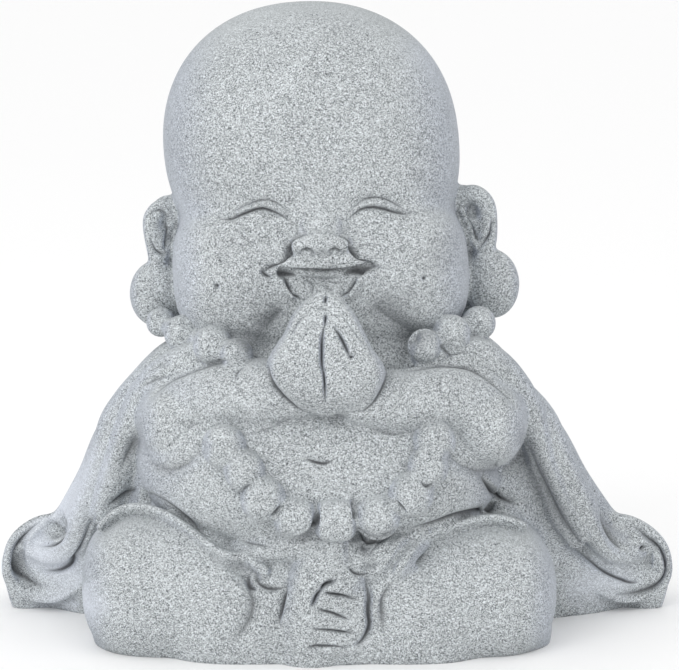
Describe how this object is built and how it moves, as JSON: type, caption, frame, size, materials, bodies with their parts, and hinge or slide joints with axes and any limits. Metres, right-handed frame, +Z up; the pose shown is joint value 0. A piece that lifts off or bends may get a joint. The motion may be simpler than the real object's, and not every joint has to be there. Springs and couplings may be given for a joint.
{
  "type": "monk statue",
  "caption": "Seated laughing child monk in cast stone, hands pressed together, with a bead necklace and a cloak whose ends roll into scrolls.",
  "frame": {"origin": "centre of the bounding box, on the flat underside", "axes": "+Z up; the figure faces -Y, so a viewer in front looks along +Y with +X to the right"},
  "size_m": [0.306, 0.1904, 0.28],
  "materials": {
    "cast_stone": "matte, sandy grain with fine light and dark specks and small pinholes"
  },
  "bodies": {
    "root": {"monk_statue": "cast_stone"}
  },
  "joints": []
}
